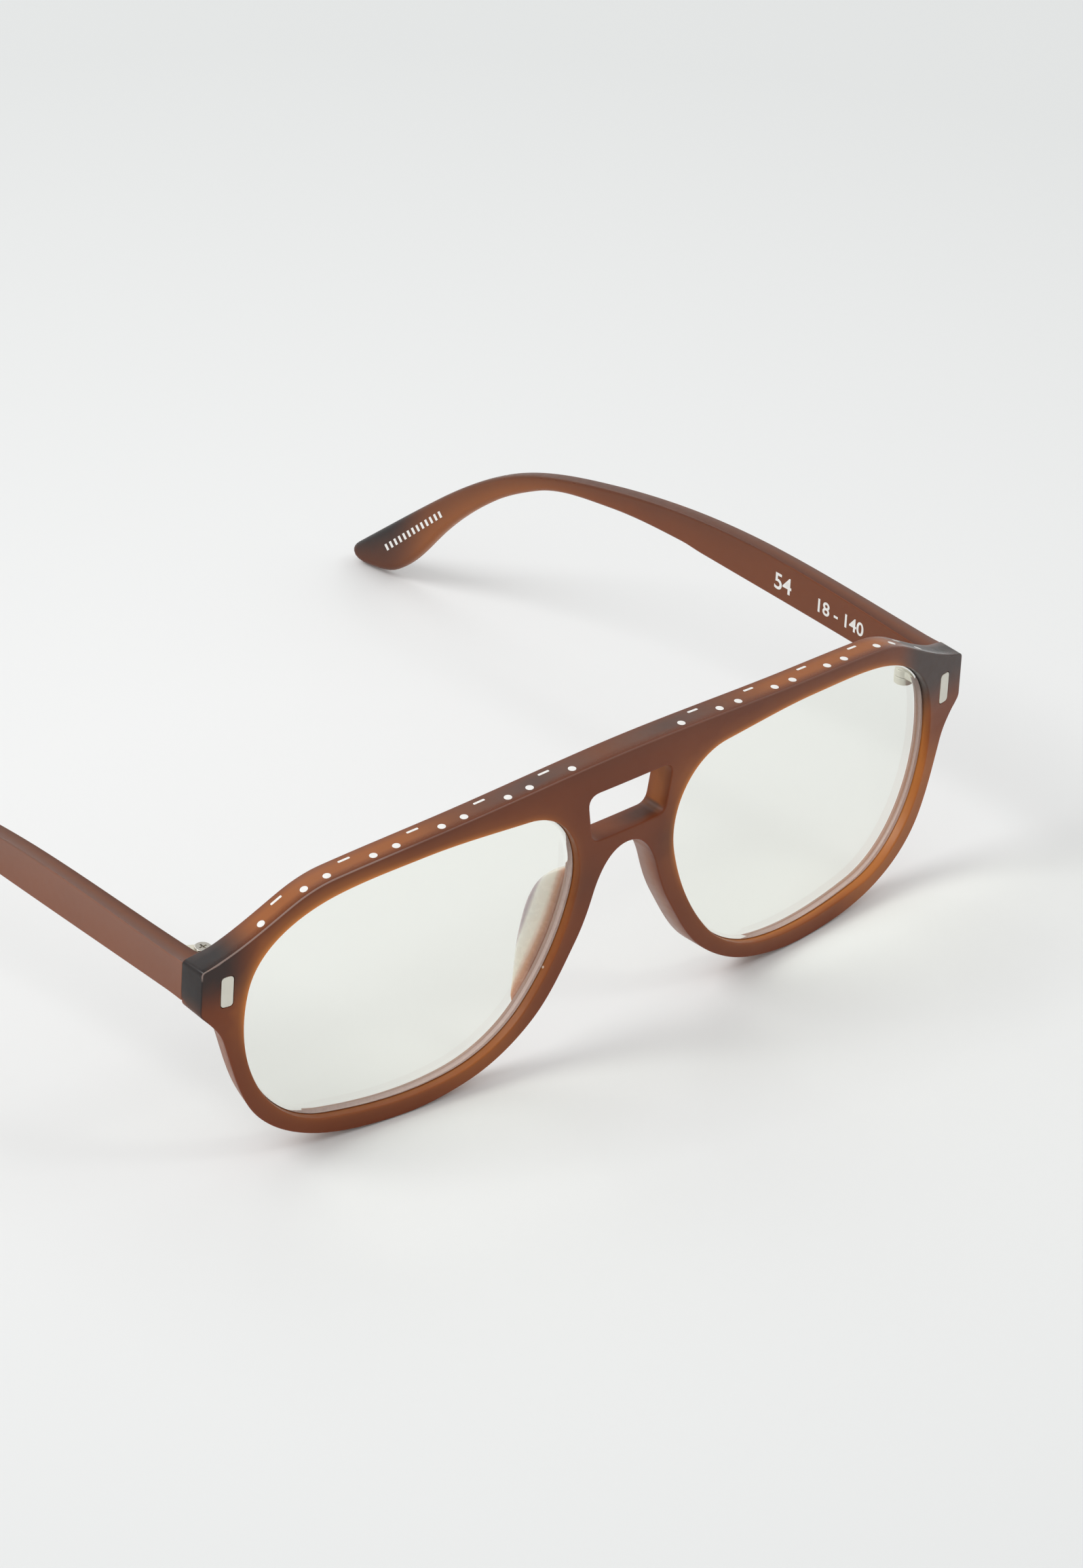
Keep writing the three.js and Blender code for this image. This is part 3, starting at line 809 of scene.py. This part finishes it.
def front_values(corners):
    """What the acetate's colour and polish need to know at each point of the front."""
    at = FrontPlaces(corners)
    # the front top edge, given lower roughness and a painted highlight
    polished_edge = (at.outside < 0.95 * EDGE_RADIUS) * (at.depth < EDGE_RADIUS) * (at.v > -14)
    return {"painted_glow": front_painted_glow(at), "deep": front_painted_shade(at), "painted_sheen": front_painted_sheen(at, polished_edge), "polish": polished_edge}


def near_temple(point):
    """1 where a temple closes against the front, and 0 away from it."""
    return float(smooth_step(66.5, 69.3, abs(point.x))) if point.y > -21 else 0.0


def front_edge(point):
    """Crisper where the front turns back to meet a temple."""
    return EDGE_RADIUS * (1 - 0.45 * near_temple(point))


def back_edge(point):
    """Rounder at the back, but crisp where a temple closes against it."""
    return EDGE_RADIUS * (2 - 1.75 * near_temple(point))


def build_front():
    groove = ((0, 0.36), (0.75, 0.5), (0, 0.64))
    outer = section(walls=((0, 0.35), (0, 0.65)))
    lens_seat = section(walls=groove, front_supports=(0.9, 0.4, 0.1))
    plaque = plaque_loop(PLAQUE_CLEAR)
    leaf = dense(leaf_loop(FRONT_LEAF, LEAF_CLEAR, FRONT_LEAF_CORNER))
    leaf_depth = LEAF_THICKNESS - FRONT_LEAF_PROUD + SEAT_CLEAR
    front = moulded(
        [OUTLINE, APERTURE_LOOP, mirrored(APERTURE_LOOP), WINDOW_LOOP],
        FRONT_THICKNESS, front_edge, bend_point,
        rows=[outer, lens_seat, lens_seat, outer],
        front_pockets=[(plaque, PLAQUE_THICKNESS), (mirrored(plaque), PLAQUE_THICKNESS)],
        back_pockets=[(leaf, leaf_depth), (mirrored(leaf), leaf_depth)],
        spacing=1.5,
        draft=rim_draft,
        back_radius=back_edge,
    )
    mesh = front.mesh("front")
    piece = finished("acetate_front", [mesh], [ACETATE], "front", ["front_frame"])
    for value, levels in front_values(front.corners).items():
        add_values(piece, value, levels)


def rim_draft(point):
    """The wall of the lower rim leans in towards the back."""
    return RIM_DRAFT * float(smooth_step(-17, -24, point.y)) if abs(point.x) > 30 else 0.0


def bend_point(u, v, depth):
    return bend(u, depth, v)


# -------- lenses and nose pads

def bulge(u, v):
    across = (u - LENS_CENTRE[0]) / LENS_REACH[0]
    up = (v - LENS_CENTRE[1]) / LENS_REACH[1]
    return LENS_BULGE * max(0.0, 1 - across * across - up * up) ** 2


def build_lens(side, name):
    """A bulged lens with a polished front bevel, and a ground edge whose ridge sits in the rim's groove."""
    loop = list(reversed(APERTURE_LOOP))
    rows = [
        (0, 0.8, 0, 0), (0, 0.14, 0, 0), (0, 0.03, 0, 0.06), (0, 0.03, 0, 0.2), (0, -0.62, 0, 0.4),
        (0, 0.03, 0, 0.6), (0, 0.03, 0, 0.9), (0, 0.2, 0, 1), (0, 0.8, 0, 1),
    ]
    lens = Moulding(LENS_THICKNESS, 0.0, lambda u, v, d: bend(u, LENS_FRONT + d - bulge(u, v), v), 2.0)
    clear, polished, ground = range(3)
    finishes = [clear, polished] + [ground] * (len(rows) - 4) + [clear]
    first, last = lens.rings(loop, rows, band_finishes=finishes)
    lens.fill([first], 0.0)
    lens.fill([last], LENS_THICKNESS)
    materials = [LENS, LENS_EDGE, LENS_BEVEL]
    finished(name + "_clear_lens", [lens.mesh(name, side)], materials, "front", [name + "_lens"], 50)


NASAL_EDGE = chain(RIM[-5:], 0.3)


def nasal_u(v):
    """How far out the front's nasal edge is at a height."""
    for low, high in zip(NASAL_EDGE, NASAL_EDGE[1:]):
        if low.y <= v <= high.y:
            return low.x + (high.x - low.x) * (v - low.y) / (high.y - low.y)
    return 0.0


def build_pad(side, name):
    """A fin on the back of the nasal rim, thick at its root and round along its crest."""
    sections = 44
    around = 20
    end_share = 0.004
    fullest = PAD_PROUD + 0.3
    taper = 0.3
    root = FRONT_THICKNESS - 0.05
    root_inset = 0.4
    middle = (PAD_TOP + PAD_BOTTOM) / 2
    reach = (PAD_TOP - PAD_BOTTOM) / 2
    corners = []
    heights = []
    for i in range(sections + 1):
        turn = math.pi * (end_share + (1 - 2 * end_share) * i / sections)
        v = middle + reach * math.cos(turn)
        down = (PAD_TOP - v) / (PAD_TOP - PAD_BOTTOM)
        crest = fullest * math.sin(math.pi * down**0.6) ** 0.75
        for k in range(around + 1):
            swing = math.pi * k / around
            back = crest * math.sin(swing) ** 0.55
            width = (PAD_THICKNESS - taper * back) * min(1.0, crest)
            centre = nasal_u(v) + root_inset + PAD_THICKNESS / 2 + PAD_SPLAY * back
            across = centre - math.copysign(abs(math.cos(swing)) ** 0.7, math.cos(swing)) * width / 2
            corners.append((across, v, root + back))
            nasal_side = (1 + math.cos(swing)) / 2
            heights.append(back / PAD_PROUD + 0.35 * nasal_side)
    pad = Moulding(0.0, 0.0, bend_point)
    pad.corners = corners
    row = around + 1
    for i in range(sections):
        for k in range(row):
            after = (k + 1) % row
            pad.add_face([i * row + k, i * row + after, (i + 1) * row + after, (i + 1) * row + k])
    pad.add_face(list(range(row)))
    pad.add_face([sections * row + k for k in range(row)])
    piece = finished(
        name + "_pad", [pad.mesh(name, side)], [PAD],
        "front", [name + "_nose_pad"], 60,
    )
    add_values(piece, "height", np.clip(heights, 0, 1))


# -------- plaques and hinges

def on_bend_at(middle_u):
    """Places a small flat piece on the bend, turned to it at its middle."""
    angle = middle_u / WRAP_RADIUS
    x, y, _ = bend(middle_u, 0, 0)

    def placed(u, v, depth):
        along = u - middle_u
        return (
            x + along * math.cos(angle) - depth * math.sin(angle),
            y + along * math.sin(angle) + depth * math.cos(angle),
            v,
        )
    return placed


def build_plaque(side, name):
    placed = on_bend_at(PLAQUE_U)
    start = SEAT_CLEAR - PLAQUE_PROUD
    plaque = small_part(
        plaque_loop(0.0), PLAQUE_THICKNESS, lambda u, v, d: placed(u, v, start + d), edge=0.12, support=0.1,
    )
    finished(
        name + "_metal_plaque", [plaque.mesh(name, side)], [PLAQUE_METAL],
        "front", [name + "_plaque"],
    )


def knuckle_top(index):
    """The level of a knuckle's top, and its height."""
    height = (HINGE_HEIGHT + KNUCKLE_GAP) / KNUCKLE_COUNT - KNUCKLE_GAP
    return HINGE_TOP - index * (height + KNUCKLE_GAP), height


def knuckle(outline, index):
    top, height = knuckle_top(index)
    bore = circle_loop(HINGE_X, HINGE_Y, SCREW_RADIUS + SCREW_BORE_CLEAR)
    return moulded(
        [list(reversed(outline)), bore], height, BARREL_EDGE, lambda x, y, d: (x, y, top - d),
        rows=[small_section(0.03)] * 2,
    )


def build_front_leaf(side, name):
    placed = on_bend_at(sum(FRONT_LEAF) / 2)
    outline = leaf_loop(FRONT_LEAF, 0.0, FRONT_LEAF_CORNER)
    start = FRONT_THICKNESS + FRONT_LEAF_PROUD - LEAF_THICKNESS
    plate = small_part(outline, LEAF_THICKNESS, lambda u, v, d: placed(u, v, start + d), LEAF_EDGE)
    meet = math.degrees(math.asin(WEB_HALF / KNUCKLE_RADIUS))
    web_root = 10.4
    barrel = [Vector((HINGE_X - WEB_HALF, web_root)), Vector((HINGE_X + WEB_HALF, web_root))]
    barrel += arc((HINGE_X, HINGE_Y), KNUCKLE_RADIUS, meet - 90, 270 - meet, 40)
    meshes = [plate.mesh("plate", side)]
    meshes += [knuckle(barrel, index).mesh("knuckle", side) for index in FRONT_KNUCKLES]
    finished(
        name + "_front_hinge", meshes, [HINGE_METAL],
        "front", [name + "_front_hinge_leaf"],
    )


def build_temple_leaf(side, name, body):
    inner_x = TEMPLE_OUTER_X - TEMPLE_THICKNESS_FRONT
    leaf_x = inner_x - TEMPLE_LEAF_PROUD
    outline = leaf_loop(TEMPLE_LEAF, 0.0, TEMPLE_LEAF_CORNER)
    plate = small_part(outline, LEAF_THICKNESS, lambda y, z, d: (leaf_x + d, y, z), LEAF_EDGE)
    web_start = -15.0
    web_x = leaf_x + 0.3
    web_front = HINGE_Y + KNUCKLE_RADIUS * math.sin(math.radians(web_start))
    web_back = HINGE_Y + KNUCKLE_RADIUS + 1.4
    barrel = arc((HINGE_X, HINGE_Y), KNUCKLE_RADIUS, 90, 360 + web_start, 40)
    barrel += [Vector((web_x, web_front)), Vector((web_x, web_back))]
    meshes = [plate.mesh("plate", side)]
    meshes += [knuckle(barrel, index).mesh("knuckle", side) for index in TEMPLE_KNUCKLES]
    finished(
        name + "_temple_hinge", meshes, [HINGE_METAL],
        body, [name + "_temple_hinge_leaf"],
    )


def screw_cross():
    """The outline of the cross slot in a screw's head."""
    centre = Vector((HINGE_X, HINGE_Y))
    half = 0.13
    arm = 0.6
    points = []
    for quarter in range(4):
        turn = Matrix.Rotation(math.pi / 2 * quarter, 2)
        points += [centre + turn @ Vector(p) for p in ((arm, half), (half, half), (half, arm))]
    return points


def build_screw(side, name):
    into_head = 0.1
    cross_depth = 0.2
    head_top = HINGE_TOP + SCREW_HEAD_CLEAR + SCREW_HEAD_HEIGHT
    head = small_part(
        circle_loop(HINGE_X, HINGE_Y, SCREW_HEAD_RADIUS), SCREW_HEAD_HEIGHT,
        lambda x, y, d: (x, y, head_top - d), edge=0.12, front_pockets=[(screw_cross(), cross_depth)],
    )
    shank_top = HINGE_TOP + SCREW_HEAD_CLEAR + into_head
    shank_length = HINGE_HEIGHT + SCREW_HEAD_CLEAR + into_head
    shank = small_part(
        circle_loop(HINGE_X, HINGE_Y, SCREW_RADIUS), shank_length,
        lambda x, y, d: (x, y, shank_top - d), BARREL_EDGE,
    )
    meshes = [head.mesh("head", side), shank.mesh("shank", side)]
    finished(name + "_screw", meshes, [SCREW_METAL], "front", [name + "_hinge_screw"])


# -------- temples

def temple_outer_x(y):
    back = y - TEMPLE_FRONT_Y
    return TEMPLE_OUTER_X - TEMPLE_TOE_IN * back - TEMPLE_BOW * back**2


def temple_thickness(point):
    extra = TEMPLE_THICKNESS_FRONT - TEMPLE_THICKNESS_TIP
    return TEMPLE_THICKNESS_TIP + extra * math.exp((TEMPLE_FRONT_Y - point[0]) / TEMPLE_THINNING_LENGTH)


def temple_edge(point):
    """Small at the joint with the front, and rounder towards the tip."""
    start = 0.07 + 0.2 * min(1.0, max(0.0, (point[0] - TEMPLE_FRONT_Y) / 2.5))
    return start + 0.5 * min(1.0, max(0.0, (point[0] - 60) / 45))


def temple_point(y, z, depth):
    mitre = max(0.0, 1 - (y - TEMPLE_FRONT_Y) / MITRE_LENGTH)
    return temple_outer_x(y) - depth, y - mitre * (MITRE_SLOPE * depth + SEAM_CLOSING), z


def temple_values(corners):
    """What the acetate's colour and polish need to know at each point of a temple."""
    at = np.array(corners)
    y = at[:, 0]
    share = at[:, 2] / np.array([temple_thickness(p) for p in at])
    top_line = chain(TEMPLE_TOP, TEMPLE_STEP)
    low_line = chain(TEMPLE_LOWER, TEMPLE_STEP)[::-1]
    top = np.interp(y, [p.x for p in top_line], [p.y for p in top_line])
    low = np.interp(y, [p.x for p in low_line], [p.y for p in low_line])
    height = np.clip((at[:, 1] - low) / np.maximum(0.5, top - low), 0, 1)
    wall = smooth_step(0.08, 0.2, share) * smooth_step(0.08, 0.2, 1 - share)
    back = smooth_step(70, 100, y)
    tip = smooth_step(114, 124, y)
    outer = 1 - smooth_step(0.0, 0.3, share)
    from_edge = np.minimum(share, 1 - share)
    edge = np.exp(-(((from_edge - 0.045) / 0.035) ** 2))
    inner = smooth_step(0.7, 1.0, share)
    far = smooth_step(30, 75, y)
    # painted light: light shining through the temple's back half, less near the tip and top
    painted_glow = 0.05 + 0.22 * back * (1 - tip) * (1 - 0.7 * height) + 0.04 * wall
    # painted shade: darker top wall further back, inner face, tip and a dark line along the top edge
    deep = wall * (0.3 + 0.3 * far) * (height > 0.5) + 0.65 * tip * (0.5 + 0.5 * height)
    deep += 0.1 * inner + 0.35 * far * height**2 * (1 - wall)
    top_edge = (height > 0.8) * (from_edge > 0.02) * (from_edge < 0.13)
    deep = np.maximum(deep, 0.5 * top_edge)
    # painted sheen: paler outer face, and a painted highlight along the lower outer edge
    painted_sheen = outer * (0.1 + 0.1 * height) + 0.04 * wall * (1 - back)
    painted_sheen = np.maximum(painted_sheen, 0.6 * edge * (height < 0.2) * (share < 0.5))
    return {"painted_glow": painted_glow, "deep": np.clip(deep, 0, 1), "painted_sheen": painted_sheen, "polish": 0.5 * edge}


def build_temple(side, name, body):
    top = chain(TEMPLE_TOP, TEMPLE_STEP)
    tip = smooth_curve(TEMPLE_TOP[-1], TEMPLE_LOWER[0], TEMPLE_STEP / 2)
    lower = chain(TEMPLE_LOWER, TEMPLE_STEP)
    front_end = straight(lower[-1], top[0])
    leaf = dense(leaf_loop(TEMPLE_LEAF, LEAF_CLEAR, TEMPLE_LEAF_CORNER))
    leaf_depth = LEAF_THICKNESS - TEMPLE_LEAF_PROUD + SEAT_CLEAR
    temple = moulded(
        [top[:-1] + tip + lower[:-1] + front_end], temple_thickness, temple_edge, temple_point,
        rows=[small_section(0.08)], back_pockets=[(leaf, leaf_depth)], spacing=1.8,
    )
    piece = finished(
        name + "_acetate_temple", [temple.mesh(name, side)], [ACETATE],
        body, [name + "_temple"],
    )
    for value, levels in temple_values(temple.corners).items():
        add_values(piece, value, levels)


# -------- printed marks

MARK_LIFT = 0.015
MARK_THICKNESS = 0.05
MARK_EDGE = 0.012
BROW_LINE = chain(BROW, 0.4)
BROW_RUN = np.cumsum([0.0] + [(b - a).length for a, b in zip(BROW_LINE, BROW_LINE[1:])])


def brow_point(run):
    """The brow's top edge and its outward direction, a given run along it from the middle."""
    look_ahead = 0.3
    here, ahead = [
        Vector((
            np.interp(at, BROW_RUN, [p.x for p in BROW_LINE]),
            np.interp(at, BROW_RUN, [p.y for p in BROW_LINE]),
        ))
        for at in (abs(run), abs(run) + look_ahead)
    ]
    way = (ahead - here).normalized()
    return math.copysign(here.x, run), here.y, math.copysign(-way.y, run), way.x


def brow_mark(loop):
    """A thin mark on the brow's top, from its loop along the brow and through the sheet."""
    def placed(run, depth, sunk):
        u, v, out_u, out_v = brow_point(run)
        lift = MARK_LIFT - sunk
        return bend(u + out_u * lift, depth, v + out_v * lift)
    rows = [section(front_supports=(), back_supports=())]
    return moulded([loop], MARK_THICKNESS, MARK_EDGE, placed, rows)


def build_brow_marks():
    """An even rhythm along the brow: dot, dash, dot, the dots near the front edge, the dashes behind."""
    spacing = 3.7
    first = 10.0
    count = 15
    dot_radius = 0.58
    dot_depth = 1.35
    dash_half = 0.95
    dash_depths = (2.75, 3.15)
    dash_corner = 0.18
    meshes = []
    for side in (-1, 1):
        for k in range(count):
            run = side * (first + k * spacing)
            if k % 3 == 1:
                loop = box_loop(run - dash_half, run + dash_half, *dash_depths, dash_corner)
            else:
                loop = circle_loop(run, dot_depth, dot_radius, 20)
            meshes.append(brow_mark(list(reversed(loop))).mesh("mark"))
    finished("brow_marks", meshes, [PRINT], "front")


def digits(text, size):
    """The flat mesh of generic size digits."""
    curve = bpy.data.curves.new("digits", "FONT")
    curve.body = text
    curve.size = size
    curve.extrude = MARK_THICKNESS / 2
    curve.offset = 0.05
    holder = bpy.data.objects.new("digits", curve)
    bpy.context.scene.collection.objects.link(holder)
    made = bpy.data.meshes.new_from_object(holder.evaluated_get(bpy.context.evaluated_depsgraph_get()))
    bpy.data.objects.remove(holder)
    return made


def on_inner_face(mesh, start_y, base_z, slope):
    """Lays flat shapes on the left temple's inner face, reading from the tip towards the hinge."""
    for vertex in mesh.vertices:
        along, up, out = vertex.co
        y = start_y - along
        z = base_z + up + slope * along
        depth = temple_thickness((y, z)) + MARK_LIFT + out - MARK_THICKNESS / 2
        vertex.co = place(*temple_point(y, z, depth))
    return mesh


def build_temple_marks():
    lens_width = on_inner_face(digits("54", 3.7), start_y=42.7, base_z=-17.9, slope=0.03)
    bridge_and_length = on_inner_face(digits("18 - 140", 3.0), start_y=34.0, base_z=-17.6, slope=0.02)
    finished("size_digits", [lens_width, bridge_and_length], [PRINT], "left_temple_body")
    finished("tip_ticks", [tip_ticks()], [PRINT], "left_temple_body")


def tip_ticks():
    """A plain row of ticks along the inner face of the left tip."""
    start = Vector((112.6, -38.0))
    end = Vector((123.6, -48.6))
    along = (end - start).normalized()
    across = Vector((-along.y, along.x))
    count = 13
    half_width = 0.27
    half_height = 0.5
    shape = bmesh.new()
    for k in range(count):
        middle = start.lerp(end, k / (count - 1))
        corners = []
        for side_way, height_way in ((-1, -1), (1, -1), (1, 1), (-1, 1)):
            p = middle + along * half_width * side_way + across * half_height * height_way
            depth = temple_thickness(p) + MARK_LIFT
            corners.append(place(*temple_point(p.x, p.y, depth)))
        low = [shape.verts.new(corner) for corner in corners]
        high = [shape.verts.new(corner - Vector((MARK_THICKNESS / 1000, 0, 0))) for corner in corners]
        shape.faces.new(low)
        shape.faces.new(high)
        for i in range(4):
            shape.faces.new((low[i], low[(i + 1) % 4], high[(i + 1) % 4], high[i]))
    mesh = bpy.data.meshes.new("ticks")
    shape.to_mesh(mesh)
    shape.free()
    return mesh


build_front()
for side, name, body in ((1, "left", "left_temple_body"), (-1, "right", "right_temple_body")):
    build_lens(side, name)
    build_pad(side, name)
    build_plaque(side, name)
    build_front_leaf(side, name)
    build_temple_leaf(side, name, body)
    build_screw(side, name)
    build_temple(side, name, body)
build_brow_marks()
build_temple_marks()

# -------- floor, light and camera

CAMERA_AZIMUTH = -41.756
CAMERA_ELEVATION = 28.576
CAMERA_ROLL = 0.433
CAMERA_DISTANCE = 1.3
CAMERA_AIM = Vector((-0.00196, -0.05059, 0.03376))
CAMERA_LENS = 218.2


def build_floor():
    """A pale floor with a painted pool of light: brightest near the object, darker further off."""
    bpy.ops.mesh.primitive_plane_add(size=12.0, location=(0, 0, -0.0001))
    floor = bpy.context.object
    floor.name = "floor"
    finish = Finish("pale_floor", roughness=0.9)
    away = finish.add("VectorMath", {0: finish.where})
    away.operation = "LENGTH"
    near_object = finish.mix(finish.noise(3, 2.0), srgb(236, 237, 238), srgb(239, 240, 239))
    # painted light: the floor is painted darker away from the object
    painted_falloff = finish.remap(away.outputs["Value"], 0.05, 0.28, 0.0, 1.0)
    finish.link(finish.mix(painted_falloff, near_object, srgb(222, 224, 224)), "Base Color")
    finish.set("Specular IOR Level", 0.2)
    floor.data.materials.append(finish.material)


def area_light(name, azimuth, elevation, distance, size, power):
    light = bpy.data.lights.new(name, "AREA")
    light.shape = "DISK"
    light.size = size
    light.energy = power
    lamp = bpy.data.objects.new(name, light)
    bpy.context.scene.collection.objects.link(lamp)
    away = away_from(azimuth, elevation)
    lamp.location = away * distance
    lamp.rotation_euler = away.to_track_quat("Z", "Y").to_euler()


def away_from(azimuth, elevation):
    turn = math.radians(azimuth)
    rise = math.radians(elevation)
    return Vector((math.sin(turn) * math.cos(rise), -math.cos(turn) * math.cos(rise), math.sin(rise)))


def build_lights():
    world = bpy.data.worlds.new("studio")
    world.use_nodes = True
    background = world.node_tree.nodes["Background"]
    background.inputs["Color"].default_value = (1.0, 0.998, 0.99, 1.0)
    background.inputs["Strength"].default_value = 0.72
    bpy.context.scene.world = world
    area_light("key", azimuth=-115, elevation=48, distance=2.2, size=1.1, power=16.5)
    area_light("back", azimuth=165, elevation=38, distance=2.4, size=1.4, power=7)
    area_light("edge", azimuth=32, elevation=49, distance=2.2, size=0.45, power=2.6)


def build_camera():
    data = bpy.data.cameras.new("camera")
    data.lens = CAMERA_LENS
    data.sensor_width = 36.0
    data.clip_start = 0.05
    data.clip_end = 30.0
    camera = bpy.data.objects.new("camera", data)
    bpy.context.scene.collection.objects.link(camera)
    away = away_from(CAMERA_AZIMUTH, CAMERA_ELEVATION)
    roll = Matrix.Rotation(math.radians(CAMERA_ROLL), 3, "Z")
    camera.rotation_mode = "QUATERNION"
    camera.rotation_quaternion = (away.to_track_quat("Z", "Y").to_matrix() @ roll).to_quaternion()
    camera.location = CAMERA_AIM + away * CAMERA_DISTANCE
    bpy.context.scene.camera = camera


build_floor()
build_lights()
build_camera()
bpy.context.scene.view_settings.view_transform = "Standard"
